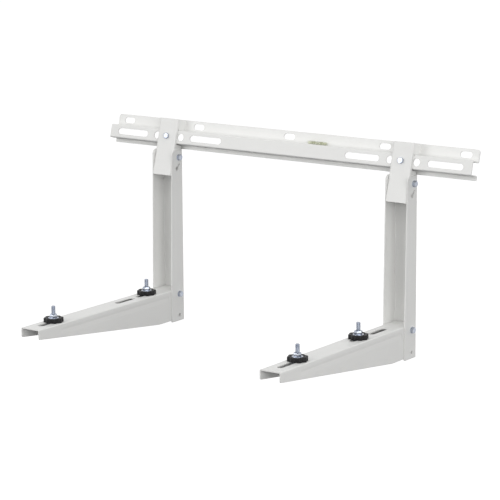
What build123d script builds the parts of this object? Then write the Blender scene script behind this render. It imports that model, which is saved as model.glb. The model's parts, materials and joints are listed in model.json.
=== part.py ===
from build123d import *
import os
from math import cos, radians, sin, tan

# Wall bracket for the outdoor unit of an air conditioner, in millimetres.
# +X runs along the crossbar, the wall is at +Y, the arms reach out to -Y, +Z is up.
# The origin is in the middle between the two arms, on the plane of the uprights' backs,
# level with the arms' top faces. Each bracket hangs from a hanger on the crossbar by its
# pivot bolt. As it lies loose the crossbar leans back from the uprights.

os.makedirs("parts", exist_ok=True)

# Sheet and folds
rail_sheet = 2.0
bracket_sheet = 2.0
fold_radius = 0.6

# Crossbar
rail_length = 800.0
plate_height = 22.0
web_height = 26.0
ledge_depth = 22.0
lip_height = 7.0
plate_corner_radius = 5.0
rail_lean = 15.0

# Holes in the crossbar's back plate and front web
anchor_slot_length = 24.0
anchor_slot_width = 10.5
anchor_from_end = 26.6
anchor_from_hanger = 53.0
web_slot_length = 72.0
web_slot_width = 11.0
web_slot_from_hanger = 86.2
web_hole_diameter = 13.5
web_hole_from_hanger = 28.0

# Brackets, each hung at the same distance from its end of the crossbar
hanger_from_end = 140.0
channel_width = 42.0
nest_clearance = 0.25

# Hangers
hanger_stand_off = 6.0
hanger_top_margin = 1.5
hanger_drop = 61.0
hanger_corner_radius = 3.0
rail_clearance = 2.0
notch_relief_diameter = 3.0

# Uprights
upright_height = 330.0
upright_top_depth = 32.5
upright_foot_depth = 39.5
upright_foot_drop = 62.0
upright_top_radius = 8.0
upright_foot_radius = 3.0
stop_gap = 0.3

# Pivot, from the upright's back and top end, and below the crossbar
pivot_from_back = 12.5
pivot_from_top = 14.0
pivot_below_rail = 24.0

# Keyhole slot beside the pivot, from the pivot's axis
keyhole_forward = 5.0
keyhole_down = 21.0
keyhole_diameter = 8.0
keyhole_neck_length = 12.0
keyhole_neck_width = 3.6
keyhole_neck_angle = 48.0

# Arms, each with one slot near its tip and two in line near the upright
arm_reach = 420.0
arm_tip_depth = 18.0
arm_root_depth = 59.0
arm_root_length = 76.0
arm_corner_radius = 4.0
arm_slot_width = 12.0
front_slot_length = 65.0
front_slot_from_tip = 24.0
rear_slot_length = 53.0
rear_slot_from_back = 64.0
rear_slot_gap = 9.0
crease_below_top = 12.0
crease_upper_width = 4.0
crease_lower_width = 8.0
crease_depth = 0.5
crease_from_tip = 60.0
crease_from_back = 46.0

# Bolt that holds each arm, and the empty hole below it
arm_bolt_from_back = 15.0
arm_bolt_below_top = 9.5
foot_hole_below_top = 51.0
foot_hole_diameter = 6.6

# Bolts and screws with their nuts and washers
bolt_diameter = 6.0
bolt_hex_width = 10.0
bolt_head_height = 4.0
bolt_nut_height = 5.2
bolt_washer_diameter = 12.0
bolt_end = 3.0
hanger_screw_end = 2.0
hex_turned_angle = 30.0
hex_turned_share = 0.95
washer_thickness = 1.6
thread_chamfer = 0.8
pivot_running_clearance = 0.08
bolt_hole_clearance = 0.25
nut_bore_clearance = 0.1
washer_bore_clearance = 0.2

# Studs of the pads with their nuts and washers
stud_diameter = 8.0
stud_held_diameter = 7.2
stud_hex_width = 13.0
stud_nut_height = 6.5
stud_washer_diameter = 20.0
stud_above_arm = 29.5
stud_below_nut = 2.0
free_thread_gap = 0.4

# Rubber pads
pad_diameter = 36.0
pad_height = 8.3
pad_lobes = 8
pad_lobe_diameter = 9.0
pad_root_diameter = 31.5
pad_edge_radius = 1.2
pad_dish_diameter = 25.0
pad_dish_depth = 1.8
pad_dish_slope = 1.5
pad_bore_clearance = 0.3

# Where each pad is set, as a share of its slot's travel from the end next to the tip. The
# left rear pad is in the slot next to the upright, the right one in the slot before it.
left_front_share = 0.64
left_rear_share = 0.587
right_front_share = 0.94
right_rear_share = 0.46

# Spirit level on the ledge
level_length = 42.0
level_place = 66.0
level_width = 8.0
level_height = 7.5
level_top_radius = 3.6
level_bore_diameter = 5.4
level_bore_above_ledge = 3.8
level_end_wall = 2.5
level_plate_clearance = 0.7
level_liquid_clearance = 0.05
bubble_length = 9.0
bubble_depth = 2.0

# Sizes that follow from the ones above
bracket_spacing = rail_length - 2 * hanger_from_end
upright_width = channel_width + 2 * nest_clearance + 2 * bracket_sheet
upright_top = upright_height - upright_foot_drop
hanger_depth = ledge_depth + hanger_stand_off
plate_top = web_height + plate_height
pivot_y = -pivot_from_back
pivot_z = upright_top - pivot_from_top
keyhole_y = pivot_y - keyhole_forward
keyhole_z = pivot_z - keyhole_down
bolt_radius = bolt_diameter / 2
stud_radius = stud_diameter / 2
stud_held_radius = stud_held_diameter / 2
outer_face = upright_width / 2
front_slot_middle = front_slot_from_tip + front_slot_length / 2 - arm_reach
near_slot_middle = -(rear_slot_from_back + rear_slot_length / 2)
far_slot_middle = near_slot_middle - rear_slot_gap - rear_slot_length
front_travel = front_slot_length - arm_slot_width
rear_travel = rear_slot_length - arm_slot_width

# Frame of the leaning crossbar: local x is the distance behind its back face,
# local y the height above its lower flange, local z the direction along the crossbar.
# Standing upright the crossbar's back lies on the plane of the uprights' backs, so the
# pivot is as far in front of both.
lean = radians(rail_lean)
behind = Vector(0, cos(lean), -sin(lean))
upward = Vector(0, sin(lean), cos(lean))
pivot_point = Vector(0, pivot_y, pivot_z)
rail_origin = pivot_point + behind * pivot_from_back + upward * pivot_below_rail
rail_section = Plane(origin=rail_origin, x_dir=behind, z_dir=(1, 0, 0))
rail_face = Plane(origin=rail_origin, x_dir=(1, 0, 0), z_dir=behind * -1)


def finish(part, name):
    """Labels one finished piece and writes it."""
    part.label = name
    export_step(part, f"parts/{name}.step")


def across(centre_x):
    """The side plane through one bracket's middle, local x along +Y and local y up."""
    return Plane(origin=(centre_x, 0, 0), x_dir=(0, 1, 0), z_dir=(1, 0, 0))


def pivot_and_keyhole():
    """Adds the pivot's hole and the keyhole with its neck to a sketch on the side plane."""
    with Locations((pivot_y, pivot_z)):
        Circle(bolt_radius + pivot_running_clearance)
    with Locations((keyhole_y, keyhole_z)):
        Circle(keyhole_diameter / 2)
    with Locations(Location((keyhole_y, keyhole_z), keyhole_neck_angle)):
        SlotOverall(keyhole_neck_length, keyhole_neck_width, align=(Align.MIN, Align.CENTER))


def folded_section(plane, width, depth):
    """A channel's section on a plane: its web along local x, its flanges towards -y."""
    middle = bracket_sheet / 2
    half_width = width / 2 - middle
    with BuildSketch(plane) as section:
        with BuildLine():
            FilletPolyline(
                (-half_width, -depth),
                (-half_width, -middle),
                (half_width, -middle),
                (half_width, -depth),
                radius=fold_radius + middle,
            )
        trace(line_width=bracket_sheet)
    return section.sketch


# Crossbar: one folded sheet, back plate, ledge, front web, lower flange and lip
sheet_middle = rail_sheet / 2
with BuildPart() as crossbar:
    with BuildSketch(rail_section):
        with BuildLine():
            FilletPolyline(
                (-sheet_middle, plate_top),
                (-sheet_middle, web_height - sheet_middle),
                (sheet_middle - ledge_depth, web_height - sheet_middle),
                (sheet_middle - ledge_depth, sheet_middle),
                (-sheet_middle, sheet_middle),
                (-sheet_middle, -lip_height),
                radius=fold_radius + sheet_middle,
            )
        trace(line_width=rail_sheet)
    extrude(amount=rail_length / 2, both=True)
    plate_corners = crossbar.edges().filter_by(Axis(rail_origin, behind)).group_by(Axis.Z)[-1]
    fillet(plate_corners, plate_corner_radius)
    with BuildSketch(rail_face):
        inner_place = bracket_spacing / 2 - anchor_from_hanger
        outer_place = rail_length / 2 - anchor_from_end
        for place in (-outer_place, -inner_place, 0, inner_place, outer_place):
            with Locations((place, web_height + plate_height / 2)):
                SlotOverall(anchor_slot_length, anchor_slot_width)
    extrude(amount=rail_sheet, mode=Mode.SUBTRACT)
    with BuildSketch(rail_face.offset(ledge_depth)):
        for hanger_place in (-bracket_spacing / 2, bracket_spacing / 2):
            for side in (-1, 1):
                with Locations((hanger_place + side * web_slot_from_hanger, web_height / 2)):
                    SlotOverall(web_slot_length, web_slot_width)
                with Locations((hanger_place + side * web_hole_from_hanger, web_height / 2)):
                    Circle(web_hole_diameter / 2)
            with Locations((hanger_place, web_height / 2)):
                Circle(bolt_radius + bolt_hole_clearance)
    extrude(amount=-rail_sheet, mode=Mode.SUBTRACT)
finish(crossbar.part, "crossbar")


# Spirit level: a clear body with a flat base on the ledge, filled with tinted liquid
level_middle = -rail_sheet - level_plate_clearance - level_width / 2
level_start = rail_section.offset(level_place - level_length / 2)
with BuildPart() as level_body:
    with BuildSketch(level_start) as level_outline:
        with Locations((level_middle, web_height + level_height / 2)):
            Rectangle(level_width, level_height)
        fillet(level_outline.vertices().group_by(Axis.Y)[-1], level_top_radius)
    extrude(amount=level_length)
    with BuildSketch(level_start.offset(level_end_wall)):
        with Locations((level_middle, web_height + level_bore_above_ledge)):
            Circle(level_bore_diameter / 2)
    extrude(amount=level_length - 2 * level_end_wall, mode=Mode.SUBTRACT)
finish(level_body.part, "level_body")

liquid_radius = level_bore_diameter / 2 - level_liquid_clearance
bubble_middle = web_height + level_bore_above_ledge + liquid_radius
with BuildPart() as level_liquid:
    with BuildSketch(level_start.offset(level_end_wall + level_liquid_clearance)):
        with Locations((level_middle, web_height + level_bore_above_ledge)):
            Circle(liquid_radius)
    extrude(amount=level_length - 2 * level_end_wall - 2 * level_liquid_clearance)
    with BuildSketch(rail_section.offset(level_place - bubble_length / 2)):
        with Locations((level_middle, bubble_middle)):
            Circle(bubble_depth)
    extrude(amount=bubble_length, mode=Mode.SUBTRACT)
finish(level_liquid.part, "level_liquid")


def hex_prism(plane, width, height, bore_radius):
    """A hexagon head or nut standing on a plane, the corners of its outer end turned down."""
    turned_radius = width / 2 * hex_turned_share
    cone_base = turned_radius + height / tan(radians(hex_turned_angle))
    with BuildPart() as prism:
        with BuildSketch(plane):
            RegularPolygon(width / 2, 6, major_radius=False)
        extrude(amount=height)
        with Locations(plane):
            standing = (Align.CENTER, Align.CENTER, Align.MIN)
            Cone(cone_base, turned_radius, height, align=standing, mode=Mode.INTERSECT)
        if bore_radius > 0:
            with BuildSketch(plane):
                Circle(bore_radius)
            extrude(amount=height, mode=Mode.SUBTRACT)
    return prism.part


def hex_bolt(plane, length):
    """A hexagon bolt, its head on the plane's outer side and its shank going inward."""
    with BuildPart() as bolt:
        add(hex_prism(plane, bolt_hex_width, bolt_head_height, 0))
        with BuildSketch(plane):
            Circle(bolt_radius)
        extrude(amount=-length)
        shank_end = bolt.faces().sort_by(Axis(plane.origin, plane.z_dir))[0]
        chamfer(shank_end.edges(), thread_chamfer)
    return bolt.part


def bolt_nut(plane):
    """The nut of a bolt or screw, standing on a plane."""
    return hex_prism(plane, bolt_hex_width, bolt_nut_height, bolt_radius + nut_bore_clearance)


def washer(plane, diameter, inner_radius):
    """A flat washer standing on a plane."""
    with BuildPart() as ring:
        with BuildSketch(plane):
            Circle(diameter / 2)
            Circle(inner_radius + washer_bore_clearance, mode=Mode.SUBTRACT)
        extrude(amount=washer_thickness)
    return ring.part


def cross_bolt(name, centre_x, y, z):
    """Bolt, two washers and nut through both flanges of one upright."""
    right_side = Plane(origin=(centre_x + outer_face, y, z), x_dir=(0, 1, 0), z_dir=(1, 0, 0))
    left_side = Plane(origin=(centre_x - outer_face, y, z), x_dir=(0, 1, 0), z_dir=(-1, 0, 0))
    grip = upright_width + 2 * washer_thickness + bolt_nut_height
    finish(hex_bolt(right_side.offset(washer_thickness), grip + bolt_end), f"{name}_bolt")
    finish(bolt_nut(left_side.offset(washer_thickness)), f"{name}_nut")
    washers = [washer(side, bolt_washer_diameter, bolt_radius) for side in (right_side, left_side)]
    finish(Compound(children=washers), f"{name}_washers")


def make_hanger(side_name, centre_x):
    """Channel that straddles the crossbar and hangs down inside the upright."""
    section = rail_section.offset(centre_x)
    hanger_top = plate_top - hanger_top_margin
    web_foot = section.from_local_coords((-hanger_depth, -hanger_drop, 0))
    fold_plane = Plane(origin=web_foot, x_dir=(-1, 0, 0), z_dir=upward)
    wall_face = -rail_sheet
    notch_front = -ledge_depth
    # The rear edge below the crossbar has two straight stretches at the same distance from
    # the pivot: the upper one meets the upright's web as it lies, the lower one when upright.
    rear_edge = -(bracket_sheet + stop_gap)
    reach = pivot_from_back - bracket_sheet - stop_gap
    facet_start = -pivot_below_rail + reach * tan(lean / 2)
    facet_top = rear_edge - (-rail_clearance - facet_start) * tan(lean)
    relief = fold_radius + rail_sheet / 2
    with BuildPart() as hanger:
        extrude(folded_section(fold_plane, channel_width, hanger_depth), amount=hanger_drop + hanger_top)
        with BuildSketch(section) as outline:
            with BuildLine():
                Polyline(
                    (-hanger_depth, hanger_top),
                    (wall_face, hanger_top),
                    (wall_face, web_height + relief),
                    (wall_face - relief, web_height),
                    (notch_front, web_height),
                    (notch_front, -rail_clearance),
                    (facet_top, -rail_clearance),
                    (rear_edge, facet_start),
                    (rear_edge, -hanger_drop),
                    (-hanger_depth, -hanger_drop),
                    close=True,
                )
            make_face()
            foot_corners = outline.vertices().group_by(Axis.Y)[0]
            fillet(foot_corners.sort_by(Axis.X)[-1], hanger_corner_radius)
        extrude(amount=channel_width / 2, both=True, mode=Mode.INTERSECT)
        with BuildSketch(across(centre_x)):
            pivot_and_keyhole()
        extrude(amount=channel_width / 2, both=True, mode=Mode.SUBTRACT)
        with BuildSketch(section):
            with Locations((notch_front, web_height)):
                Circle(notch_relief_diameter / 2)
        extrude(amount=channel_width / 2, both=True, mode=Mode.SUBTRACT)
        with BuildSketch(rail_face.offset(hanger_depth)):
            with Locations((centre_x, web_height / 2)):
                Circle(bolt_radius + bolt_hole_clearance)
        extrude(amount=-bracket_sheet, mode=Mode.SUBTRACT)
    finish(hanger.part, f"{side_name}_hanger")


def make_hanger_screw(side_name, centre_x):
    """Hexagon screw through the hanger's web and the crossbar's front web, and its nut."""
    outside = rail_face.offset(hanger_depth)
    head_middle = outside.from_local_coords((centre_x, web_height / 2, 0))
    head_plane = Plane(origin=head_middle, x_dir=(1, 0, 0), z_dir=outside.z_dir)
    grip = hanger_stand_off + rail_sheet
    nut_plane = Plane(origin=head_plane.offset(-grip).origin, x_dir=(1, 0, 0), z_dir=behind)
    length = grip + bolt_nut_height + hanger_screw_end
    finish(hex_bolt(head_plane, length), f"{side_name}_hanger_screw")
    finish(bolt_nut(nut_plane), f"{side_name}_hanger_nut")


def make_upright(side_name, centre_x):
    """Channel open to the front, deeper at its foot, with the pivot, keyhole and bolt holes."""
    fold_plane = Plane(origin=(centre_x, 0, -upright_foot_drop), x_dir=(1, 0, 0), z_dir=(0, 0, 1))
    with BuildPart() as upright:
        extrude(folded_section(fold_plane, upright_width, upright_foot_depth), amount=upright_height)
        with BuildSketch(across(centre_x)) as outline:
            with BuildLine():
                Polyline(
                    (0, upright_top),
                    (0, -upright_foot_drop),
                    (-upright_foot_depth, -upright_foot_drop),
                    (-upright_top_depth, upright_top),
                    close=True,
                )
            make_face()
            fillet(outline.vertices().group_by(Axis.Y)[0].sort_by(Axis.X)[0], upright_foot_radius)
            fillet(outline.vertices().group_by(Axis.Y)[-1].sort_by(Axis.X)[0], upright_top_radius)
        extrude(amount=outer_face, both=True, mode=Mode.INTERSECT)
        with BuildSketch(across(centre_x)):
            pivot_and_keyhole()
            with Locations((-arm_bolt_from_back, -arm_bolt_below_top)):
                Circle(bolt_radius + bolt_hole_clearance)
            with Locations((-arm_bolt_from_back, -foot_hole_below_top)):
                Circle(foot_hole_diameter / 2)
        extrude(amount=outer_face, both=True, mode=Mode.SUBTRACT)
    finish(upright.part, f"{side_name}_upright")


def make_arm(side_name, centre_x):
    """Channel open below, seated inside the upright's foot, tapering to its open tip."""
    rear_end = -(bracket_sheet + stop_gap)
    half_width = channel_width / 2
    fold_plane = Plane(origin=(centre_x, rear_end, 0), x_dir=(1, 0, 0), z_dir=(0, -1, 0))
    with BuildPart() as arm:
        extrude(folded_section(fold_plane, channel_width, arm_root_depth), amount=arm_reach + rear_end)
        with BuildSketch(across(centre_x)) as outline:
            with BuildLine():
                Polyline(
                    (rear_end, 0),
                    (-arm_reach, 0),
                    (-arm_reach, -arm_tip_depth),
                    (-arm_root_length, -arm_root_depth),
                    (rear_end, -arm_root_depth),
                    close=True,
                )
            make_face()
            tip_corner = outline.vertices().group_by(Axis.X)[0].sort_by(Axis.Y)[0]
            fillet(tip_corner, arm_corner_radius)
        extrude(amount=half_width, both=True, mode=Mode.INTERSECT)
        with BuildSketch(Plane.XY):
            for slot_middle, slot_length in (
                (front_slot_middle, front_slot_length),
                (far_slot_middle, rear_slot_length),
                (near_slot_middle, rear_slot_length),
            ):
                with Locations(Location((centre_x, slot_middle), 90)):
                    SlotOverall(slot_length, arm_slot_width)
        extrude(amount=-bracket_sheet, mode=Mode.SUBTRACT)
        with BuildSketch(across(centre_x)):
            with Locations((-arm_bolt_from_back, -arm_bolt_below_top)):
                Circle(bolt_radius + bolt_hole_clearance)
            with Locations((-arm_bolt_from_back, -foot_hole_below_top)):
                Circle(foot_hole_diameter / 2)
        extrude(amount=half_width, both=True, mode=Mode.SUBTRACT)
        with BuildSketch(Plane.XZ.offset(crease_from_back)):
            for side in (-1, 1):
                with BuildLine():
                    Polyline(
                        (centre_x + side * half_width, crease_upper_width - crease_below_top),
                        (centre_x + side * (half_width - crease_depth), -crease_below_top),
                        (centre_x + side * half_width, -crease_lower_width - crease_below_top),
                        close=True,
                    )
                make_face()
        extrude(amount=arm_reach - crease_from_tip - crease_from_back, mode=Mode.SUBTRACT)
    finish(arm.part, f"{side_name}_arm")


def make_pad(name, centre_x, centre_y):
    """Lobed rubber pad on the arm with its stud, and a washer and nut above and below."""
    arm_top = Plane(origin=(centre_x, centre_y, 0), x_dir=(1, 0, 0), z_dir=(0, 0, 1))
    under_arm = Plane(origin=(centre_x, centre_y, -bracket_sheet), x_dir=(1, 0, 0), z_dir=(0, 0, -1))
    dish_floor = pad_height - pad_dish_depth
    lobe_circle = (pad_diameter - pad_lobe_diameter) / 2
    with BuildPart() as pad:
        with BuildSketch(arm_top):
            Circle(pad_root_diameter / 2)
            with PolarLocations(lobe_circle, pad_lobes):
                Circle(pad_lobe_diameter / 2)
        extrude(amount=pad_height)
        fillet(pad.faces().sort_by(Axis.Z)[-1].edges(), pad_edge_radius)
        with BuildSketch(arm_top.offset(pad_height)):
            Circle(pad_dish_diameter / 2)
        with BuildSketch(arm_top.offset(dish_floor)):
            Circle(pad_dish_diameter / 2 - pad_dish_slope)
        loft(mode=Mode.SUBTRACT)
        with BuildSketch(arm_top):
            Circle(stud_radius + pad_bore_clearance)
        extrude(amount=pad_height, mode=Mode.SUBTRACT)
    finish(pad.part, f"{name}_pad")

    # The nuts hold the stud at its thread's middle diameter. Its free end has the full one.
    stud_low = bracket_sheet + washer_thickness + stud_nut_height + stud_below_nut
    free_start = dish_floor + washer_thickness + stud_nut_height + free_thread_gap
    with BuildPart() as stud:
        with BuildSketch(arm_top.offset(-stud_low)):
            Circle(stud_held_radius)
        extrude(amount=stud_low + free_start)
        with BuildSketch(arm_top.offset(free_start)):
            Circle(stud_radius)
        extrude(amount=stud_above_arm - free_start)
        rims = stud.edges().filter_by(GeomType.CIRCLE).sort_by(Axis.Z)
        chamfer([rims[0], rims[-1]], thread_chamfer)
    finish(stud.part, f"{name}_stud")

    nut_bore = stud_held_radius + nut_bore_clearance
    for place, seat in (("top", arm_top.offset(dish_floor)), ("under", under_arm)):
        nut = hex_prism(seat.offset(washer_thickness), stud_hex_width, stud_nut_height, nut_bore)
        finish(washer(seat, stud_washer_diameter, stud_radius), f"{name}_{place}_washer")
        finish(nut, f"{name}_{place}_nut")


sides = {
    "left": (-bracket_spacing / 2, left_front_share, near_slot_middle, left_rear_share),
    "right": (bracket_spacing / 2, right_front_share, far_slot_middle, right_rear_share),
}
for side_name, (centre_x, front_share, rear_slot_middle, rear_share) in sides.items():
    make_hanger(side_name, centre_x)
    make_hanger_screw(side_name, centre_x)
    make_upright(side_name, centre_x)
    make_arm(side_name, centre_x)
    cross_bolt(f"{side_name}_pivot", centre_x, pivot_y, pivot_z)
    cross_bolt(f"{side_name}_arm", centre_x, -arm_bolt_from_back, -arm_bolt_below_top)
    make_pad(f"{side_name}_front", centre_x, front_slot_middle + (front_share - 0.5) * front_travel)
    make_pad(f"{side_name}_rear", centre_x, rear_slot_middle + (rear_share - 0.5) * rear_travel)
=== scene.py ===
import json
import math

import bmesh
import bpy
import numpy as np
from bpy.props import FloatProperty, FloatVectorProperty, IntProperty, PointerProperty
from bpy.types import Operator, Panel, PropertyGroup
from mathutils import Matrix, Vector

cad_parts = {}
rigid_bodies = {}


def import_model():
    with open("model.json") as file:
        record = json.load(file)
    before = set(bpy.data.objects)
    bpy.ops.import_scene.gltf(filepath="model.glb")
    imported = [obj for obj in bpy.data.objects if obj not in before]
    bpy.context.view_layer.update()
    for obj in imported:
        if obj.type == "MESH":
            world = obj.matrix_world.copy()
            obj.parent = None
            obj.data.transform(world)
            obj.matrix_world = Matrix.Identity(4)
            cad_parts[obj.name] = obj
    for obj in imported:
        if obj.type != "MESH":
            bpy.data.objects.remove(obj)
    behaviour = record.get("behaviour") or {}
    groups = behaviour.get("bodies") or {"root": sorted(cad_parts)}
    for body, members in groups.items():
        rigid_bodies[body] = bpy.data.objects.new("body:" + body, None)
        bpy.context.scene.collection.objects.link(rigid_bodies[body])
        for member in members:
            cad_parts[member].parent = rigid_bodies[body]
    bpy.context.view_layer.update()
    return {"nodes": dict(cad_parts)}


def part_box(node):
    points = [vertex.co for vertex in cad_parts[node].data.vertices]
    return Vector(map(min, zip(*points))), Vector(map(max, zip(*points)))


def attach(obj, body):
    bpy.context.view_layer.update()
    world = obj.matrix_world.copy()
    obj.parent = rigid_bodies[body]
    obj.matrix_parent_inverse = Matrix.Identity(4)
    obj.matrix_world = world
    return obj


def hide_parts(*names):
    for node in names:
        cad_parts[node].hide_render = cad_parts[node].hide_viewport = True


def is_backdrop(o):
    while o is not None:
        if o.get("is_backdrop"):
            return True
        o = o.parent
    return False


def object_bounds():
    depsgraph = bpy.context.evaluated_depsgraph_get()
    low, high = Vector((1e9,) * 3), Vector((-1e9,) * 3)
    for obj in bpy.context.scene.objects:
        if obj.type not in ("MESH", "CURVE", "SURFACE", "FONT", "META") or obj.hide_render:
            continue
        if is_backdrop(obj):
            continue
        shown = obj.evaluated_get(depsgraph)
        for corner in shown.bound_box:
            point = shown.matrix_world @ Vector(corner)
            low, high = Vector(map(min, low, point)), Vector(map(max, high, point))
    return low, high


bl_info = {
    "name": "Outdoor Unit Bracket Dressing",
    "version": (1, 0, 0),
    "blender": (4, 5, 0),
    "location": "3D View > Sidebar > Bracket",
    "description": "Coats the bracket's sheet metal and makes its threads, fasteners, pads and level",
    "category": "Object",
}

for leftover in list(bpy.data.objects):
    bpy.data.objects.remove(leftover)
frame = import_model()

SIDES = ("left", "right")
PLACES = ("front", "rear")
LEVELS = ("top", "under")

# The crossbar leans back from the uprights. BEHIND and UPWARD are its own directions.
LEAN = math.radians(15.0)
BEHIND = np.array([0.0, math.cos(LEAN), -math.sin(LEAN)])
UPWARD = np.array([0.0, math.sin(LEAN), math.cos(LEAN)])
RIGHT = np.array([1.0, 0.0, 0.0])
REAR = np.array([0.0, 1.0, 0.0])
UP = np.array([0.0, 0.0, 1.0])

WHITE = (1.0, 1.0, 1.0)

# Sizes in millimetres that the pieces share with the sheet metal
PIVOT_FROM_BACK = 12.5
PIVOT_BELOW_RAIL = 24.0
HANGER_DEPTH = 28.0
SCREW_GRIP = 8.0
WEB_HEIGHT = 26.0
WASHER_THICKNESS = 1.6

# How far a hanger's screw stands out of its nut
SCREW_END = 2.0

# Air between a pad or washer and the face it slides on, so that their surfaces never touch
SLIDE_GAP = 0.03

# Heads and nuts: a cone cuts the corners from this share of the half width outwards, and the
# edges where it meets the end face and the sides are eased by the drop, the lift and the bevel
HEXAGON_COLUMNS = 72
CONE_START = 0.95
CONE_ANGLE = math.radians(30.0)
FACE_DROP = 0.02
CORNER_LIFT = 0.03
BEVEL = 0.12
NUT_MOUTH = 0.5

# The dish in a head's end: its depth, and its floor and rim as shares of the cone's start
DISH_DEPTH = 0.25
DISH_FLOOR = 0.72
DISH_RIM = 0.8

# Threads: the crests lie a little inside the solid, the depth is a share of the pitch, and a
# turn has a crest from 0 to 0.125 of it and a rounded root from 0.4375 to 0.6875. A rod's end
# is narrower than the root, a nut's bore wider than it, and a washer's wider than the crests.
# The turns that a rod needs beyond each end are spare.
CREST_INSET = 0.02
THREAD_DEPTH = 0.6134
ROOT_LIFT = 0.04
TURN_SHARES = (0.0, 0.125, 0.4375, 0.5625, 0.6875)
END_INSET = 0.1
NUT_INTO_THREAD = 0.15
WASHER_PLAY = 0.2
WASHER_COLUMNS = 96
SPARE_TURNS = 2

# Pads: the eight lobes, the circle between them, the hole for the stud and its wider mouth, the
# round of the edge, and a ring of points halfway under the pad
LOBES = 8
LOBE_RADIUS = 4.5
VALLEY_RADIUS = 15.75
VALLEY_ROUNDING = 0.3
OUTLINE_INSET = 0.03
PAD_COLUMNS = 192
PAD_HOLE = 4.3
PAD_MOUTH = 4.5
PAD_EDGE = 1.2
PAD_UNDERSIDE = 9.0

# Steps of a pad's profile: outwards from the dish's rim and up from its floor, then outwards
# and down from the top, and last inwards from the outline and up from the arm
DISH_FOOT_STEPS = ((-1.8, 0.0), (-1.45, 0.08), (-1.2, 0.35))
DISH_HEAD_STEPS = ((-0.3, 0.35), (-0.05, 0.08), (0.3, 0.0))
PAD_FOOT_STEPS = ((0.0, 0.6), (0.15, 0.18), (0.55, SLIDE_GAP))

# Level: its bore's place before the crossbar's back and above the ledge, its outline from the
# bore, the wall at each end of the bore, and the depth and half angle of the bubble
LEVEL_FORWARD = 6.7
LEVEL_FOOT = 3.8
LEVEL_TOP = 3.7
LEVEL_HALF_WIDTH = 4.0
LEVEL_ROUNDING = 3.6
LEVEL_END_WALL = 2.5
BORE_RADIUS = 2.7
BORE_COLUMNS = 64
LIQUID_GAP = 0.05
MARK_GAP = 0.01
BUBBLE_DEPTH = 1.9
BUBBLE_HALF_ANGLE = math.radians(62.0)

# Degrees that heads and nuts are turned from a corner, as a spanner leaves them
HEAD_TURNS = {"left_pivot": 12.0, "left_arm": 40.0, "right_pivot": 21.0, "right_arm": -14.0}
SCREW_TURN = 30.0
BOLT_NUT_TURNS = {"pivot": 21.0, "arm": 7.0}
STUD_NUT_TURNS = {"front": 5.0, "rear": -12.0}

# Making of meshes: edges sharper than the crease angle stay sharp, and points nearer than the
# weld distance, in metres, are joined
CREASE = 32.0
LIQUID_CREASE = 60.0
WELD_DISTANCE = 2e-6
SLIVER_DISTANCE = 1e-7


def mm(length):
    """A length in metres, in millimetres."""
    return length * 1000.0


def half_mm(width):
    """Half of a width in metres, in millimetres."""
    return width * 500.0


def box_mm(node):
    """Lowest corner, highest corner and middle of a node, in millimetres."""
    low, high = (mm(np.array(corner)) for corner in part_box(node))
    return low, high, (low + high) / 2


def rail_point(x, behind, above):
    """A point of the leaning crossbar: x along it, behind its back face and above its flange."""
    pivot = box_mm("left_pivot_bolt")[2] * (REAR + UP)
    start = pivot + BEHIND * PIVOT_FROM_BACK + UPWARD * PIVOT_BELOW_RAIL
    return start + RIGHT * x + BEHIND * behind + UPWARD * above


# Surfaces


def skin(points, ring=False, void=False):
    """A closed shell over a grid of points, rows by columns. The columns close on themselves,
    and so do the rows of a ring. The sum of the signed volumes under the faces says which
    way they point, and the shell of a void is turned the other way."""
    rows, columns = points.shape[:2]
    row = np.arange(rows if ring else rows - 1)[:, None] * columns
    next_row = (row + columns) % (rows * columns)
    column = np.arange(columns)[None, :]
    next_column = (column + 1) % columns
    faces = np.stack(
        [row + column, row + next_column, next_row + next_column, next_row + column], -1
    ).reshape(-1, 4)
    return outward(points.reshape(-1, 3), faces, void)


def outward(vertices, faces, void=False):
    """Turns a closed shell's faces so that its signed volume is positive, or negative for a void."""
    a, b, c, d = (vertices[faces[:, i]] - vertices.mean(0) for i in range(4))
    volume = (a * np.cross(b, c)).sum() + (a * np.cross(c, d)).sum()
    if (volume < 0) != void:
        faces = faces[:, ::-1]
    return vertices, faces


def round_axis(place, radius, height):
    """Points at origin + radius * (cos(angle) * u + sin(angle) * v) + height * w. The angle goes
    once round over the columns; radius and height are tables of rows by columns."""
    origin, u, v, w = place
    angle = np.linspace(0.0, 2 * math.pi, radius.shape[1], endpoint=False)
    around = np.cos(angle)[:, None] * u + np.sin(angle)[:, None] * v
    return origin + radius[:, :, None] * around[None] + height[:, :, None] * w


def turned_shell(place, profile, columns, ring=False, void=False):
    """A profile carried once round the axis. It is a list of (radius, height), each a number or
    one value per column."""
    wide = np.ones(columns)
    radius = np.array([radius * wide for radius, _ in profile])
    height = np.array([height * wide for _, height in profile])
    return skin(round_axis(place, radius, height), ring, void)


def hexagon(columns, half_width):
    """Radius of a hexagon at each column: half its width over the cosine of the angle from the
    middle of the nearest flat. A corner lies at angle 0."""
    angle = np.linspace(0.0, 360.0, columns, endpoint=False)
    return half_width / np.cos(np.radians(angle % 60.0 - 30.0))


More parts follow.
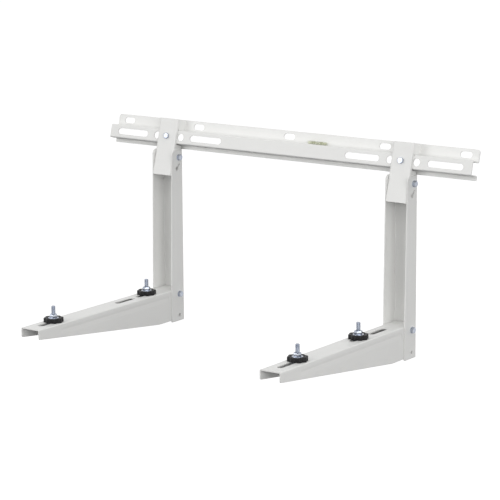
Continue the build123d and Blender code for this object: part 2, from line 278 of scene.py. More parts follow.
def hexagon_shell(place, size, height, bore=0.0):
    """A hexagon whose corners are cut by a 30 degree cone: the cone's height falls with the
    radius beyond its start. A head is cut at its outer end and dished there, and a nut, which
    has a bore, is a ring that is cut at both ends."""
    half = half_mm(size.width)
    wide = hexagon(HEXAGON_COLUMNS, half)
    eased = wide - BEVEL / 2
    start = CONE_START * half
    cut = (wide - start) * math.tan(CONE_ANGLE)
    outer = [
        (start - BEVEL, height),
        (start, height - FACE_DROP),
        (eased, height - cut + CORNER_LIFT),
        (wide, height - cut - BEVEL),
    ]
    if bore > 0:
        outer += [
            (wide, cut + BEVEL),
            (eased, cut - CORNER_LIFT),
            (start, FACE_DROP),
            (start - BEVEL, 0.0),
        ]
        mouth = bore + NUT_MOUTH
        inner = [(mouth, 0.0), (bore, NUT_MOUTH), (bore, height - NUT_MOUTH), (mouth, height)]
        return turned_shell(place, outer + inner, HEXAGON_COLUMNS, ring=True)
    floor = height - DISH_DEPTH
    dished = [(0.0, floor), (start * DISH_FLOOR, floor), (start * DISH_RIM, height)]
    under = [(wide, BEVEL), (wide - BEVEL, 0.0), (0.0, 0.0)]
    return turned_shell(place, dished + outer + under, HEXAGON_COLUMNS)


def thread_crest(size):
    """Radius at the top of a thread."""
    return half_mm(size.diameter) - CREST_INSET


def thread_root(size):
    """Radius at the bottom of a thread: that of its crest less its depth."""
    return thread_crest(size) - THREAD_DEPTH * mm(size.pitch)


def thread_shell(place, size, low, high):
    """A threaded rod. Along the axis each turn has a crest, two flanks at 60 degrees and a
    rounded root, and every row climbs one pitch as the angle goes once round. Rows beyond an
    end are drawn back onto its flat face, and a 45 degree cone limits the radius next to it."""
    pitch = mm(size.pitch)
    crest, root = thread_crest(size), thread_root(size)
    columns = bpy.context.scene.bracket_fasteners.thread_columns
    phase = np.array(TURN_SHARES)
    level = np.array([crest, crest, root + ROOT_LIFT, root, root + ROOT_LIFT])
    turns = math.ceil((high - low) / pitch) + 2 * SPARE_TURNS
    climb = (np.arange(turns)[:, None] + phase[None, :]).ravel()
    share = np.arange(columns) / columns
    height = low - SPARE_TURNS * pitch + pitch * (climb[:, None] + share[None, :])
    height = np.clip(height, low, high)
    radius = np.tile(level, turns)[:, None] * np.ones(columns)
    end = np.minimum(height - low, high - height)
    radius = np.minimum(radius, root - END_INSET + end)
    points = round_axis(place, radius, height)
    count, rows = len(phase), len(climb)
    row = np.arange(rows - 1)[:, None]
    column = np.arange(columns)[None, :]
    seam = (column == columns - 1) * 1
    next_column = (column + 1) % columns
    lifted = np.minimum(row + seam * count, rows - 1)
    lifted_next = np.minimum(row + 1 + seam * count, rows - 1)
    faces = np.stack(
        [
            row * columns + column,
            lifted * columns + next_column,
            lifted_next * columns + next_column,
            (row + 1) * columns + column,
        ],
        -1,
    ).reshape(-1, 4)
    first = np.arange(columns)
    second = (first + 1) % columns
    bottom_pole, top_pole = rows * columns, rows * columns + 1
    last = (rows - 1) * columns
    low_cap = np.stack([np.full(columns, bottom_pole), second, first, first], -1)
    upper_first, upper_second = last + first, last + second
    high_cap = np.stack([np.full(columns, top_pole), upper_first, upper_second, upper_second], -1)
    origin, _, _, w = place
    vertices = np.vstack([points.reshape(-1, 3), [origin + low * w, origin + high * w]])
    return outward(vertices, np.vstack([faces, low_cap, high_cap]))


def washer_shell(place, size):
    """A flat ring whose outer edge is rounded over its upper side, as punched sheet is."""
    bore = half_mm(size.diameter) + WASHER_PLAY
    radius = half_mm(size.washer_diameter)
    thick, burr, bevel, rounding = WASHER_THICKNESS, 0.1, 0.15, 0.3
    # Halfway round, a quarter circle lies 0.3 of its radius inside its corner
    bulge = rounding * 0.3
    profile = [
        (bore, burr),
        (bore, thick - bevel),
        (bore + bevel, thick),
        (radius - rounding, thick),
        (radius - bulge, thick - bulge),
        (radius, thick - rounding),
        (radius, burr),
        (radius - burr, SLIDE_GAP),
        (bore + burr, SLIDE_GAP),
    ]
    return turned_shell(place, profile, WASHER_COLUMNS, ring=True)


def pad_outline(outer):
    """Radius of a pad at each column: the larger of the valleys' circle and the lobes' circles
    about it. The square root of their difference squared plus a small number rounds the
    valleys."""
    centre = outer - LOBE_RADIUS
    step = 360.0 / LOBES
    angle = np.linspace(0.0, 360.0, PAD_COLUMNS, endpoint=False)
    away = np.radians((angle + step / 2) % step - step / 2)
    chord = np.sqrt(np.clip(LOBE_RADIUS**2 - (centre * np.sin(away)) ** 2, 0.0, None))
    reach = centre * np.cos(away) + chord
    rounded = np.sqrt((reach - VALLEY_RADIUS) ** 2 + VALLEY_ROUNDING)
    return (reach + VALLEY_RADIUS + rounded) / 2 - OUTLINE_INSET


def pad_shell(place):
    """The lobed pad. The profile runs up the hole, over the dish and its rim, round the edge,
    which is a quarter circle, and back under."""
    pads = bpy.context.scene.bracket_pads
    outline = pad_outline(half_mm(pads.diameter))
    height = mm(pads.height)
    dish = half_mm(pads.dish_diameter)
    floor = height - mm(pads.dish_depth)
    mouth_drop = PAD_MOUTH - PAD_HOLE
    profile = [(PAD_HOLE, mouth_drop), (PAD_HOLE, floor - mouth_drop), (PAD_MOUTH, floor)]
    profile += [(dish + outwards, floor + up) for outwards, up in DISH_FOOT_STEPS]
    profile += [(dish + outwards, height - down) for outwards, down in DISH_HEAD_STEPS]
    rim = dish + DISH_HEAD_STEPS[-1][0]
    brim = outline - PAD_EDGE
    profile += [(rim + (brim - rim) * share, height) for share in (0.33, 0.66)]
    profile += [
        (brim + PAD_EDGE * math.sin(turn), height - PAD_EDGE + PAD_EDGE * math.cos(turn))
        for turn in np.linspace(0.0, math.pi / 2, 6)
    ]
    profile += [(outline - inwards, up) for inwards, up in PAD_FOOT_STEPS]
    profile += [(PAD_UNDERSIDE, SLIDE_GAP), (PAD_MOUTH, SLIDE_GAP)]
    return turned_shell(place, profile, PAD_COLUMNS, ring=True)


def level_body_shells(place, length):
    """The level's clear body: an outline with straight sides and a rounded top, carried along
    the level and drawn in a little at each end. The void inside is a plain cylinder."""
    bore, forward, upward, along = place
    half, foot, top, rounding = LEVEL_HALF_WIDTH, -LEVEL_FOOT, LEVEL_TOP, LEVEL_ROUNDING
    arc = np.linspace(0.0, math.pi / 2, 10)
    # The two lower corners are bevelled, in two steps
    near, soft = 0.09, 0.3
    across = np.concatenate(
        [
            [half - soft, half - near, half],
            half - rounding + rounding * np.cos(arc),
            rounding - half - rounding * np.sin(arc),
            [-half, near - half, soft - half],
        ]
    )
    tall = np.concatenate(
        [
            [foot, foot + near, foot + soft],
            top - rounding + rounding * np.sin(arc),
            top - rounding + rounding * np.cos(arc),
            [foot + soft, foot + near, foot],
        ]
    )
    # Distances from an end, and the outline's scale there
    drawn_in = np.array([0.0, 0.0, 0.1, 0.4])
    scale = np.array([0.0, 0.9, 0.97, 1.0])
    ends = np.concatenate([drawn_in, length - drawn_in[::-1]]) - length / 2
    scale = np.concatenate([scale, scale[::-1]])
    outline = across[None, :, None] * forward + tall[None, :, None] * upward
    points = bore + scale[:, None, None] * outline + ends[:, None, None] * along
    inner = length / 2 - LEVEL_END_WALL
    profile = [(0.0, -inner), (BORE_RADIUS, -inner), (BORE_RADIUS, inner), (0.0, inner)]
    return [skin(points), turned_shell(place, profile, BORE_COLUMNS, void=True)]


def liquid_shell(place, length, bubble_length):
    """The liquid: a cylinder whose radius dips by the depth of the bubble where an ellipse
    about the top of the vial is nearer than one."""
    columns, rows = 96, 61
    end = length / 2 - LEVEL_END_WALL - LIQUID_GAP
    along = np.linspace(-end, end, rows)
    angle = np.linspace(0.0, 2 * math.pi, columns, endpoint=False)
    from_top = (angle - math.pi / 2 + math.pi) % (2 * math.pi) - math.pi
    lengthwise = (along[:, None] / half_mm(bubble_length)) ** 2
    near = 1.0 - lengthwise - (from_top[None, :] / BUBBLE_HALF_ANGLE) ** 2
    radius = BORE_RADIUS - LIQUID_GAP - BUBBLE_DEPTH * np.sqrt(np.clip(near, 0.0, None))
    radius = np.vstack([np.zeros(columns), radius, np.zeros(columns)])
    height = np.concatenate([[along[0]], along, [along[-1]]])[:, None] * np.ones(columns)
    return skin(round_axis(place, radius, height))


def mark_shells(place, spacing, width):
    """The two rings round the liquid, each a square profile carried once round the bore."""
    inside, outside = BORE_RADIUS - LIQUID_GAP + MARK_GAP, BORE_RADIUS - MARK_GAP
    shells = []
    for centre in (-half_mm(spacing), half_mm(spacing)):
        low, high = centre - half_mm(width), centre + half_mm(width)
        profile = [(inside, low), (outside, low), (outside, high), (inside, high)]
        shells.append(turned_shell(place, profile, BORE_COLUMNS, ring=True))
    return shells


def make_piece(name, shells, finish, body, nodes, crease=CREASE):
    """Puts the shells, worked out in millimetres, into one mesh in metres. Points that fall
    together at poles and seams are joined, and edges sharper than the crease angle stay sharp."""
    starts = np.cumsum([0] + [len(vertices) for vertices, _ in shells])
    vertices = np.vstack([shell[0] for shell in shells]) * 0.001
    faces = np.vstack([shell[1] + start for shell, start in zip(shells, starts)])
    mesh = bpy.data.meshes.new(name)
    mesh.vertices.add(len(vertices))
    mesh.vertices.foreach_set("co", vertices.astype(np.float32).ravel())
    mesh.loops.add(faces.size)
    mesh.loops.foreach_set("vertex_index", faces.astype(np.int32).ravel())
    mesh.polygons.add(len(faces))
    mesh.polygons.foreach_set("loop_start", np.arange(0, faces.size, 4, dtype=np.int32))
    mesh.update(calc_edges=True)
    work = bmesh.new()
    work.from_mesh(mesh)
    bmesh.ops.remove_doubles(work, verts=work.verts, dist=WELD_DISTANCE)
    bmesh.ops.dissolve_degenerate(work, edges=work.edges, dist=SLIVER_DISTANCE)
    work.to_mesh(mesh)
    work.free()
    mesh.polygons.foreach_set("use_smooth", np.ones(len(mesh.polygons), dtype=bool))
    mesh.set_sharp_from_angle(angle=math.radians(crease))
    mesh.materials.append(finish)
    piece = bpy.data.objects.new(name, mesh)
    bpy.context.scene.collection.objects.link(piece)
    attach(piece, body)
    if nodes:
        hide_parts(*nodes)
    return piece


# Finishes


def colour(values):
    """A colour as four numbers."""
    return (values[0], values[1], values[2], 1.0)


def new_finish(name):
    """A material with the shader, and a noise maker on Object coordinates."""
    finish = bpy.data.materials.get(name) or bpy.data.materials.new(name)
    finish.use_nodes = True
    nodes, links = finish.node_tree.nodes, finish.node_tree.links
    nodes.clear()
    output = nodes.new("ShaderNodeOutputMaterial")
    shader = nodes.new("ShaderNodeBsdfPrincipled")
    links.new(shader.outputs["BSDF"], output.inputs["Surface"])
    where = nodes.new("ShaderNodeTexCoord")

    def noise(scale, detail=2.0, roughness=0.5):
        texture = nodes.new("ShaderNodeTexNoise")
        texture.inputs["Scale"].default_value = scale
        texture.inputs["Detail"].default_value = detail
        texture.inputs["Roughness"].default_value = roughness
        links.new(where.outputs["Object"], texture.inputs["Vector"])
        return texture.outputs["Fac"]

    return finish, shader, nodes, links, noise


def spread(nodes, links, source, low, high, start=0.3, end=0.7):
    """Maps a noise onto values from low to high."""
    ranged = nodes.new("ShaderNodeMapRange")
    ranged.inputs["From Min"].default_value = start
    ranged.inputs["From Max"].default_value = end
    ranged.inputs["To Min"].default_value = low
    ranged.inputs["To Max"].default_value = high
    links.new(source, ranged.inputs["Value"])
    return ranged.outputs["Result"]


def blend_colours(nodes, links, factor, first, second):
    """Mixes two colours by a factor."""
    mix = nodes.new("ShaderNodeMix")
    mix.data_type = "RGBA"
    mix.inputs["A"].default_value = colour(first)
    mix.inputs["B"].default_value = colour(second)
    links.new(factor, mix.inputs["Factor"])
    return mix.outputs["Result"]


def seen_directly(nodes, links):
    """One for what the camera, gloss and glass see, and zero for the light on a surface: the
    largest of the three ray flags."""
    path = nodes.new("ShaderNodeLightPath")
    seen = path.outputs["Is Camera Ray"]
    for kind in ("Is Glossy Ray", "Is Transmission Ray"):
        either = nodes.new("ShaderNodeMath")
        either.operation = "MAXIMUM"
        links.new(seen, either.inputs[0])
        links.new(path.outputs[kind], either.inputs[1])
        seen = either.outputs[0]
    return seen


def rough_skin(nodes, links, source, shader, strength, depth):
    """Turns a noise into fine relief of the given depth in metres."""
    bump = nodes.new("ShaderNodeBump")
    bump.inputs["Strength"].default_value = strength
    bump.inputs["Distance"].default_value = depth
    links.new(source, bump.inputs["Height"])
    links.new(bump.outputs["Normal"], shader.inputs["Normal"])


def coat_finish():
    """Satin powder coat: fine orange peel, a little unevenness in tone and in gloss."""
    look = bpy.context.scene.bracket_finishes
    finish, shader, nodes, links, noise = new_finish("white_powder_coat")
    base = np.array(look.coat_colour)
    shaded = base * 0.975
    tone = spread(nodes, links, noise(9.0, detail=3.0), 0.0, 1.0)
    links.new(blend_colours(nodes, links, tone, base, shaded), shader.inputs["Base Color"])
    glossy, dull = look.coat_roughness - 0.04, look.coat_roughness + 0.05
    links.new(spread(nodes, links, noise(140.0), glossy, dull), shader.inputs["Roughness"])
    peel = noise(1.0 / max(look.peel_size, 1e-4), roughness=0.55)
    rough_skin(nodes, links, peel, shader, strength=0.3, depth=0.00006)
    shader.inputs["Specular IOR Level"].default_value = 0.45
    return finish


def zinc_finish():
    """Bright zinc plate with a bluish passivation that drifts towards violet in patches."""
    look = bpy.context.scene.bracket_finishes
    finish, shader, nodes, links, noise = new_finish("bright_zinc")
    shader.inputs["Metallic"].default_value = 1.0
    patches = spread(nodes, links, noise(160.0, detail=3.0), 0.0, 1.0, start=0.35, end=0.65)
    tint = blend_colours(nodes, links, patches, look.zinc_colour, look.zinc_tint)
    links.new(tint, shader.inputs["Base Color"])
    glossy, dull = look.zinc_roughness - 0.06, look.zinc_roughness + 0.1
    links.new(spread(nodes, links, noise(700.0), glossy, dull), shader.inputs["Roughness"])
    rough_skin(nodes, links, noise(1800.0), shader, strength=0.2, depth=0.00003)
    return finish


def rubber_finish():
    """Black moulded rubber, matte, with a fine skin and a faint grey bloom."""
    look = bpy.context.scene.bracket_finishes
    finish, shader, nodes, links, noise = new_finish("black_rubber")
    base = np.array(look.rubber_colour)
    bloomed = base * 1.6
    bloom = spread(nodes, links, noise(220.0, detail=4.0), 0.0, 1.0)
    links.new(blend_colours(nodes, links, bloom, base, bloomed), shader.inputs["Base Color"])
    glossy, dull = 0.4, 0.54
    links.new(spread(nodes, links, noise(400.0), glossy, dull), shader.inputs["Roughness"])
    grain = noise(2200.0, detail=3.0, roughness=0.6)
    rough_skin(nodes, links, grain, shader, strength=0.35, depth=0.00008)
    shader.inputs["Specular IOR Level"].default_value = 0.24
    return finish


def vial_finish():
    """Clear moulded plastic, a little green, with faint flow marks."""
    look = bpy.context.scene.bracket_finishes
    finish, shader, nodes, links, noise = new_finish("clear_vial")
    shader.inputs["Alpha"].default_value = 0.16
    shader.inputs["IOR"].default_value = 1.49
    tone = spread(nodes, links, noise(90.0), 0.0, 1.0)
    base = np.array(look.vial_colour)
    shaded = base * 0.96
    links.new(blend_colours(nodes, links, tone, base, shaded), shader.inputs["Base Color"])
    glossy, dull = 0.06, 0.14
    links.new(spread(nodes, links, noise(300.0), glossy, dull), shader.inputs["Roughness"])
    rough_skin(nodes, links, noise(260.0), shader, strength=0.15, depth=0.00004)
    return finish


def liquid_finish():
    """Yellow-green spirit, deeper in patches."""
    look = bpy.context.scene.bracket_finishes
    finish, shader, nodes, links, noise = new_finish("level_liquid")
    shader.inputs["Alpha"].default_value = 0.17
    shader.inputs["IOR"].default_value = 1.34
    tone = spread(nodes, links, noise(60.0), 0.0, 1.0)
    base = np.array(look.liquid_colour)
    deeper = base * 0.9
    links.new(blend_colours(nodes, links, tone, base, deeper), shader.inputs["Base Color"])
    glossy, dull = 0.06, 0.14
    links.new(spread(nodes, links, noise(500.0), glossy, dull), shader.inputs["Roughness"])
    return finish


def mark_finish():
    """Dark rings printed round the liquid, a little uneven."""
    look = bpy.context.scene.bracket_finishes
    finish, shader, nodes, links, noise = new_finish("vial_marks")
    base = np.array(look.mark_colour)
    faded = base * 1.3
    uneven = spread(nodes, links, noise(900.0), 0.0, 1.0)
    links.new(blend_colours(nodes, links, uneven, base, faded), shader.inputs["Base Color"])
    glossy, dull = 0.4, 0.55
    links.new(spread(nodes, links, noise(900.0), glossy, dull), shader.inputs["Roughness"])
    return finish


# Settings


class FinishSettings(PropertyGroup):
    coat_colour: FloatVectorProperty(
        name="Coat", description="Colour of the powder coat", subtype="COLOR", size=3,
        default=(0.80, 0.80, 0.785), min=0.0, max=1.0,
    )
    coat_roughness: FloatProperty(
        name="Coat roughness", description="How matte the powder coat is", subtype="FACTOR",
        default=0.4, min=0.05, max=1.0,
    )
    peel_size: FloatProperty(
        name="Orange peel", description="Width of one ripple of the powder coat", subtype="DISTANCE",
        unit="LENGTH", default=0.0014, min=0.0002, max=0.02, precision=4,
    )
    zinc_colour: FloatVectorProperty(
        name="Zinc", description="Colour of the zinc plate", subtype="COLOR", size=3,
        default=(0.50, 0.53, 0.585), min=0.0, max=1.0,
    )
    zinc_tint: FloatVectorProperty(
        name="Zinc tint", description="Colour that the passivation drifts to", subtype="COLOR", size=3,
        default=(0.34, 0.37, 0.44), min=0.0, max=1.0,
    )
    zinc_roughness: FloatProperty(
        name="Zinc roughness", description="How dull the zinc is", subtype="FACTOR",
        default=0.22, min=0.05, max=1.0,
    )
    rubber_colour: FloatVectorProperty(
        name="Rubber", description="Colour of the pads", subtype="COLOR", size=3,
        default=(0.005, 0.005, 0.0055), min=0.0, max=1.0,
    )
    vial_colour: FloatVectorProperty(
        name="Vial", description="Colour of the level's clear body", subtype="COLOR", size=3,
        default=(0.90, 0.92, 0.80), min=0.0, max=1.0,
    )
    liquid_colour: FloatVectorProperty(
        name="Liquid", description="Colour of the level's liquid", subtype="COLOR", size=3,
        default=(0.70, 0.76, 0.22), min=0.0, max=1.0,
    )
    mark_colour: FloatVectorProperty(
        name="Marks", description="Colour of the marks round the liquid", subtype="COLOR", size=3,
        default=(0.16, 0.18, 0.06), min=0.0, max=1.0,
    )


def size_setting(name, description, default, low, high, precision=4):
    """A length setting in metres."""
    return FloatProperty(
        name=name, description=description, subtype="DISTANCE", unit="LENGTH",
        default=default, min=low, max=high, precision=precision,
    )


class BoltSettings(PropertyGroup):
    diameter: size_setting("Thread", "Diameter over the crests of a bolt's thread", 0.006, 0.003, 0.02)
    pitch: size_setting("Pitch", "Length of one turn of a bolt's thread", 0.001, 0.0004, 0.003, 5)
    width: size_setting("Across flats", "Width of the bolts' heads and nuts", 0.010, 0.005, 0.03)
    head_height: size_setting("Head", "Height of a bolt's head", 0.004, 0.002, 0.02)
    nut_height: size_setting("Nut", "Height of a bolt's nut", 0.0052, 0.002, 0.02)
    washer_diameter: size_setting("Washer", "Width of a bolt's washer", 0.012, 0.005, 0.05)


class StudSettings(PropertyGroup):
    diameter: size_setting("Thread", "Diameter over the crests of a stud's thread", 0.008, 0.003, 0.02)
    pitch: size_setting("Pitch", "Length of one turn of a stud's thread", 0.00125, 0.0004, 0.003, 5)
    width: size_setting("Across flats", "Width of the studs' nuts", 0.013, 0.005, 0.03)
    nut_height: size_setting("Nut", "Height of a stud's nut", 0.0065, 0.002, 0.02)
    washer_diameter: size_setting("Washer", "Width of a stud's washer", 0.020, 0.005, 0.05)


class FastenerSettings(PropertyGroup):
    thread_columns: IntProperty(
        name="Thread steps", description="Faces round one turn of a thread", default=48, min=16, max=96,
    )


class PadSettings(PropertyGroup):
    diameter: size_setting("Diameter", "Width of a pad over its lobes", 0.036, 0.02, 0.06)
    height: size_setting("Height", "Height of a pad", 0.0083, 0.004, 0.03)
    dish_diameter: size_setting("Dish", "Width of the dish in a pad's top", 0.025, 0.01, 0.05)
    dish_depth: size_setting("Dish depth", "Depth of the dish in a pad's top", 0.0018, 0.0, 0.01)


class LevelSettings(PropertyGroup):
    mark_spacing: size_setting("Mark spacing", "Distance between the two marks", 0.017, 0.005, 0.03)
    mark_width: size_setting("Mark width", "Width of one mark", 0.0024, 0.0002, 0.004)
    bubble_length: size_setting("Bubble", "Length of the bubble", 0.009, 0.003, 0.016)


class StageSettings(PropertyGroup):
    floor_colour: FloatVectorProperty(
        name="Floor", description="Colour of the floor", subtype="COLOR", size=3,
        default=(0.93, 0.93, 0.93), min=0.0, max=1.0,
    )
    floor_dim: FloatVectorProperty(
        name="Floor as light", description="Colour that the floor lends to the light from below",
        subtype="COLOR", size=3, default=(0.01, 0.01, 0.01), min=0.0, max=1.0,
    )
    floor_lift: FloatProperty(
        name="Floor lift", description="How much brighter the camera sees the floor",
        default=0.34, min=0.0, max=1.0,
    )
    floor_drop: FloatProperty(
        name="Floor drop", description="Distance from the bracket down to the floor", subtype="DISTANCE",
        unit="LENGTH", default=0.35, min=0.0, max=2.0,
    )
    key_power: FloatProperty(
        name="Key lamp", description="Power of the lamp in front on the left", subtype="POWER",
        unit="POWER", default=33.0, min=0.0, max=1000.0,
    )
    side_power: FloatProperty(
        name="Side lamp", description="Power of the wide lamp in front on the right", subtype="POWER",
        unit="POWER", default=128.0, min=0.0, max=1000.0,
    )
    sky_strength: FloatProperty(
        name="Sky", description="Level of the even light all round", default=0.75, min=0.0, max=2.0,
    )


# Pieces


def axis_place(x, y, z, along, corner):
    """A place whose axis goes along one direction and whose angle 0 points to a corner."""
    along, corner = np.array(along, float), np.array(corner, float)
    return np.array([x, y, z], float), corner, np.cross(along, corner), along


def turned_place(place, degrees):
    """The same place turned about its axis."""
    origin, u, v, w = place
    cosine, sine = math.cos(math.radians(degrees)), math.sin(math.radians(degrees))
    return origin, u * cosine + v * sine, v * cosine - u * sine, w


def bolt_shells(place, size, length):
    """Head and threaded shank. The place is under the head, and its axis points out of it. The
    shank starts a little inside the head."""
    into_head = 0.3
    head = hexagon_shell(place, size, mm(size.head_height))
    return [head, thread_shell(place, size, -length, into_head)]


def nut_shell(place, size):
    """A nut whose bore lies just inside the thread it runs on."""
    return hexagon_shell(place, size, mm(size.nut_height), thread_root(size) + NUT_INTO_THREAD)


def seat_on_arm(name, level):
    """The place where a ring on a stud stands: its lower end above the arm, its upper end below."""
    low, high, (x, y, _) = box_mm(name)
    if level == "top":
        return axis_place(x, y, low[2], UP, RIGHT)
    return axis_place(x, y, high[2], -UP, RIGHT)


def mount_body(side, place):
    return f"{side}_{place}_mount"


def bracket_body(side):
    return f"{side}_bracket"


class BRACKET_OT_coat_sheet_metal(Operator):
    """Coats the crossbar, hangers, uprights and arms"""

    bl_idname = "bracket.coat_sheet_metal"
    bl_label = "Coat sheet metal"

    def execute(self, context):
        finish = coat_finish()
        names = ["crossbar"]
        names += [f"{side}_{part}" for side in SIDES for part in ("hanger", "upright", "arm")]
        for name in names:
            node = frame["nodes"][name]
            node.data.materials.clear()
            node.data.materials.append(finish)
        return {"FINISHED"}


class BRACKET_OT_turn_studs(Operator):
    """Makes the threaded studs that carry the pads"""

    bl_idname = "bracket.turn_studs"
    bl_label = "Turn studs"

    def execute(self, context):
        finish = zinc_finish()
        size = context.scene.bracket_studs
        for side in SIDES:
            for place in PLACES:
                name = f"{side}_{place}_stud"
                low, high, (x, y, _) = box_mm(name)
                stud = thread_shell(axis_place(x, y, 0.0, UP, RIGHT), size, low[2], high[2])
                make_piece(f"{name}_thread", [stud], finish, mount_body(side, place), [name])
        return {"FINISHED"}


class BRACKET_OT_fit_bolts(Operator):
    """Makes the pivot bolts, the arms' bolts and the hangers' screws"""

    bl_idname = "bracket.fit_bolts"
    bl_label = "Fit bolts"

    def execute(self, context):
        finish = zinc_finish()
        size = context.scene.bracket_bolts
        head = mm(size.head_height)
        screw_length = SCREW_GRIP + mm(size.nut_height) + SCREW_END
        for side in SIDES:
            for kind in ("pivot", "arm"):
                name = f"{side}_{kind}_bolt"
                low, high, (_, y, z) = box_mm(name)
                seat = high[0] - head
                place = turned_place(axis_place(seat, y, z, RIGHT, REAR), HEAD_TURNS[f"{side}_{kind}"])
                shells = bolt_shells(place, size, seat - low[0])
                make_piece(f"{name}_threaded", shells, finish, bracket_body(side), [name])
            name = f"{side}_hanger_screw"
            seat = rail_point(box_mm(name)[2][0], -HANGER_DEPTH, WEB_HEIGHT / 2)
            place = turned_place(axis_place(*seat, -BEHIND, RIGHT), SCREW_TURN)
            shells = bolt_shells(place, size, screw_length)
            make_piece(f"{name}_threaded", shells, finish, "wall_rail", [name])
        return {"FINISHED"}


class BRACKET_OT_fit_nuts(Operator):
    """Makes the nuts on the bolts, the screws and the studs"""

    bl_idname = "bracket.fit_nuts"
    bl_label = "Fit nuts"

    def execute(self, context):
        finish = zinc_finish()
        bolts, studs = context.scene.bracket_bolts, context.scene.bracket_studs

        def fit(name, place, size, body):
            make_piece(f"{name}_turned", [nut_shell(place, size)], finish, body, [name])

        for side in SIDES:
            for kind, turn in BOLT_NUT_TURNS.items():
                name = f"{side}_{kind}_nut"
                _, high, (_, y, z) = box_mm(name)
                place = turned_place(axis_place(high[0], y, z, -RIGHT, REAR), turn)
                fit(name, place, bolts, bracket_body(side))
            name = f"{side}_hanger_nut"
            seat = rail_point(box_mm(name)[2][0], SCREW_GRIP - HANGER_DEPTH, WEB_HEIGHT / 2)
            fit(name, axis_place(*seat, BEHIND, RIGHT), bolts, "wall_rail")
            for place in PLACES:
                for level in LEVELS:
                    name = f"{side}_{place}_{level}_nut"
                    seat = turned_place(seat_on_arm(name, level), STUD_NUT_TURNS[place])
                    fit(name, seat, studs, mount_body(side, place))
        return {"FINISHED"}


class BRACKET_OT_lay_washers(Operator):
    """Makes the washers under the heads and nuts"""

    bl_idname = "bracket.lay_washers"
    bl_label = "Lay washers"

    def execute(self, context):
        finish = zinc_finish()
        bolts, studs = context.scene.bracket_bolts, context.scene.bracket_studs

        def lay(name, washers, body):
            make_piece(f"{name}_punched", washers, finish, body, [name])

        for side in SIDES:
            for kind in ("pivot", "arm"):
                name = f"{side}_{kind}_washers"
                low, high, (_, y, z) = box_mm(name)
                right = axis_place(high[0] - WASHER_THICKNESS, y, z, RIGHT, REAR)
                left = axis_place(low[0] + WASHER_THICKNESS, y, z, -RIGHT, REAR)
                washers = [washer_shell(right, bolts), washer_shell(left, bolts)]
                lay(name, washers, bracket_body(side))
            for place in PLACES:
                for level in LEVELS:
                    name = f"{side}_{place}_{level}_washer"
                    washer = washer_shell(seat_on_arm(name, level), studs)
                    lay(name, [washer], mount_body(side, place))
        return {"FINISHED"}


class BRACKET_OT_mould_pads(Operator):
    """Makes the lobed rubber pads"""

    bl_idname = "bracket.mould_pads"
    bl_label = "Mould pads"

    def execute(self, context):
        finish = rubber_finish()
        for side in SIDES:
            for place in PLACES:
                name = f"{side}_{place}_pad"
                shell = pad_shell(seat_on_arm(name, "top"))
                body = mount_body(side, place)
                make_piece(f"{name}_moulded", [shell], finish, body, [name])
        return {"FINISHED"}


class BRACKET_OT_set_level(Operator):
    """Makes the spirit level: clear body, liquid with its bubble, and two marks"""

    bl_idname = "bracket.set_level"
    bl_label = "Set level"

    def execute(self, context):
        level = context.scene.bracket_level
        low, high, middle = box_mm("level_body")
        length = high[0] - low[0]
        bore = rail_point(middle[0], -LEVEL_FORWARD, WEB_HEIGHT + LEVEL_FOOT)
        place = (bore, -BEHIND, UPWARD, RIGHT)

        def set_in(name, shells, finish, nodes, crease=CREASE):
            make_piece(name, shells, finish, "wall_rail", nodes, crease)

        body = level_body_shells(place, length)
        set_in("level_body_clear", body, vial_finish(), ["level_body"])
        liquid = [liquid_shell(place, length, level.bubble_length)]
        nodes = ["level_liquid"]
        set_in("level_liquid_filled", liquid, liquid_finish(), nodes, LIQUID_CREASE)
        marks = mark_shells(place, level.mark_spacing, level.mark_width)
        set_in("level_marks", marks, mark_finish(), [])
        return {"FINISHED"}


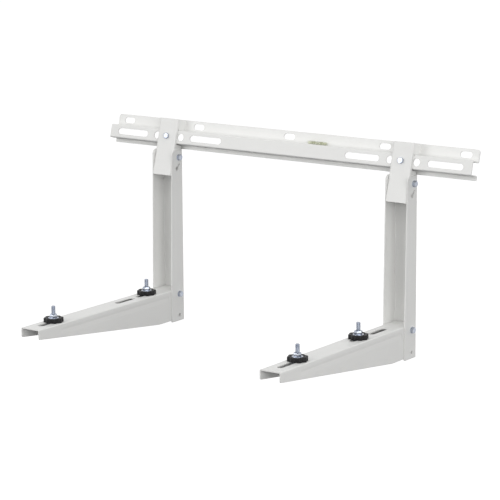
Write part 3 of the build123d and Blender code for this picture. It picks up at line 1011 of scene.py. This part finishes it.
class BRACKET_OT_set_stage(Operator):
    """Makes the floor, the lamps, the sky and the camera"""

    bl_idname = "bracket.set_stage"
    bl_label = "Set stage"

    def execute(self, context):
        stage = context.scene.bracket_stage
        scene = context.scene
        scene.view_settings.view_transform = "Standard"

        # Floor: a square sheet far wider than the view. It lends almost no light to the bracket
        # from below. What the camera, gloss and glass see of it is white and lifted a little,
        # so that only the shadow shows.
        low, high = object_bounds()
        centre = np.array((low + high) / 2)
        height = low.z - stage.floor_drop
        mesh = bpy.data.meshes.new("floor")
        reach = 14.0
        turns = ((-1, -1), (1, -1), (1, 1), (-1, 1))
        corners = [(x * reach, y * reach, height) for x, y in turns]
        mesh.from_pydata(corners, [], [(0, 1, 2, 3)])
        floor = bpy.data.objects.new("floor", mesh)
        scene.collection.objects.link(floor)
        floor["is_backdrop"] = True
        finish, shader, nodes, links, noise = new_finish("floor_paint")
        direct = seen_directly(nodes, links)
        tone = spread(nodes, links, noise(0.8), 0.0, 1.0)
        base = np.array(stage.floor_colour)
        worn = base * 0.995
        seen = nodes.new("ShaderNodeMix")
        seen.data_type = "RGBA"
        seen.inputs["A"].default_value = colour(stage.floor_dim)
        links.new(direct, seen.inputs["Factor"])
        links.new(blend_colours(nodes, links, tone, base, worn), seen.inputs["B"])
        links.new(seen.outputs["Result"], shader.inputs["Base Color"])
        shader.inputs["Roughness"].default_value = 0.9
        shader.inputs["Specular IOR Level"].default_value = 0.1
        lift = nodes.new("ShaderNodeEmission")
        lift.inputs["Color"].default_value = colour(WHITE)
        brighter = spread(nodes, links, direct, 0.0, stage.floor_lift, start=0.0, end=1.0)
        links.new(brighter, lift.inputs["Strength"])
        both = nodes.new("ShaderNodeAddShader")
        links.new(shader.outputs["BSDF"], both.inputs[0])
        links.new(lift.outputs["Emission"], both.inputs[1])
        output = next(node for node in nodes if node.type == "OUTPUT_MATERIAL")
        links.new(both.outputs["Shader"], output.inputs["Surface"])
        mesh.materials.append(finish)

        # Sky: white for what the camera, gloss and glass see, weaker as light
        world = bpy.data.worlds.new("studio")
        scene.world = world
        world.use_nodes = True
        sky, wires = world.node_tree.nodes, world.node_tree.links
        sky.clear()
        direct = seen_directly(sky, wires)
        strength = spread(sky, wires, direct, stage.sky_strength, 1.0, start=0.0, end=1.0)
        background = sky.new("ShaderNodeBackground")
        background.inputs["Color"].default_value = colour(WHITE)
        wires.new(strength, background.inputs["Strength"])
        result = sky.new("ShaderNodeOutputWorld")
        wires.new(background.outputs[0], result.inputs["Surface"])

        def lamp(name, power, direction, distance, size):
            """A white disk that faces the bracket's middle from a direction."""
            data = bpy.data.lights.new(name, "AREA")
            data.shape = "DISK"
            data.size = size
            data.energy = power
            data.color = WHITE
            thing = bpy.data.objects.new(name, data)
            towards = np.array(direction, float) / np.linalg.norm(direction)
            thing.location = centre + towards * distance
            thing.rotation_mode = "QUATERNION"
            thing.rotation_quaternion = Vector(-towards).to_track_quat("-Z", "Y")
            scene.collection.objects.link(thing)

        key, side = (-0.48, -0.84, 0.24), (0.80, -0.55, 0.15)
        lamp("key_lamp", stage.key_power, key, distance=3.6, size=2.2)
        lamp("side_lamp", stage.side_power, side, distance=5.5, size=4.0)

        # Camera at the photograph's angle: turned from the front, raised and rolled a little
        turn, rise, roll = math.radians(35.75), math.radians(11.69), math.radians(-0.38)
        target, distance = np.array([-0.0810, 0.0, 0.09102]), 4.20129
        outwards = np.array([math.sin(turn), -math.cos(turn), 0.0])
        back = outwards * math.cos(rise) + UP * math.sin(rise)
        right = np.array([math.cos(turn), math.sin(turn), 0.0])
        above = np.cross(back, right)
        across = right * math.cos(roll) + above * math.sin(roll)
        top = above * math.cos(roll) - right * math.sin(roll)
        stand = np.eye(4)
        stand[:3] = np.stack([across, top, back, target + back * distance], 1)
        data = bpy.data.cameras.new("photo_camera")
        data.sensor_width = 36.0
        data.lens = 162.03
        data.clip_start, data.clip_end = 0.1, 100.0
        camera = bpy.data.objects.new("photo_camera", data)
        scene.collection.objects.link(camera)
        camera.matrix_world = Matrix(stand.tolist())
        scene.camera = camera
        return {"FINISHED"}


OPERATORS = (
    BRACKET_OT_coat_sheet_metal,
    BRACKET_OT_turn_studs,
    BRACKET_OT_fit_bolts,
    BRACKET_OT_fit_nuts,
    BRACKET_OT_lay_washers,
    BRACKET_OT_mould_pads,
    BRACKET_OT_set_level,
    BRACKET_OT_set_stage,
)
SETTINGS = {
    "bracket_finishes": FinishSettings,
    "bracket_bolts": BoltSettings,
    "bracket_studs": StudSettings,
    "bracket_fasteners": FastenerSettings,
    "bracket_pads": PadSettings,
    "bracket_level": LevelSettings,
    "bracket_stage": StageSettings,
}


class BRACKET_PT_dressing(Panel):
    """Lists the bracket's settings and operators"""

    bl_label = "Bracket"
    bl_idname = "BRACKET_PT_dressing"
    bl_space_type = "VIEW_3D"
    bl_region_type = "UI"
    bl_category = "Bracket"

    def draw(self, context):
        for name in SETTINGS:
            column = self.layout.box().column()
            settings = getattr(context.scene, name)
            for item in settings.__annotations__:
                column.prop(settings, item)
        for operator in OPERATORS:
            self.layout.operator(operator.bl_idname)


def register():
    for settings in SETTINGS.values():
        bpy.utils.register_class(settings)
    for operator in OPERATORS:
        bpy.utils.register_class(operator)
    bpy.utils.register_class(BRACKET_PT_dressing)
    for name, settings in SETTINGS.items():
        setattr(bpy.types.Scene, name, PointerProperty(type=settings))


def unregister():
    for name in SETTINGS:
        delattr(bpy.types.Scene, name)
    bpy.utils.unregister_class(BRACKET_PT_dressing)
    for operator in reversed(OPERATORS):
        bpy.utils.unregister_class(operator)
    for settings in reversed(list(SETTINGS.values())):
        bpy.utils.unregister_class(settings)


def main():
    """Runs every operator in order."""
    register()
    for operator in OPERATORS:
        group, name = operator.bl_idname.split(".")
        getattr(getattr(bpy.ops, group), name)()


if __name__ == "__main__":
    main()
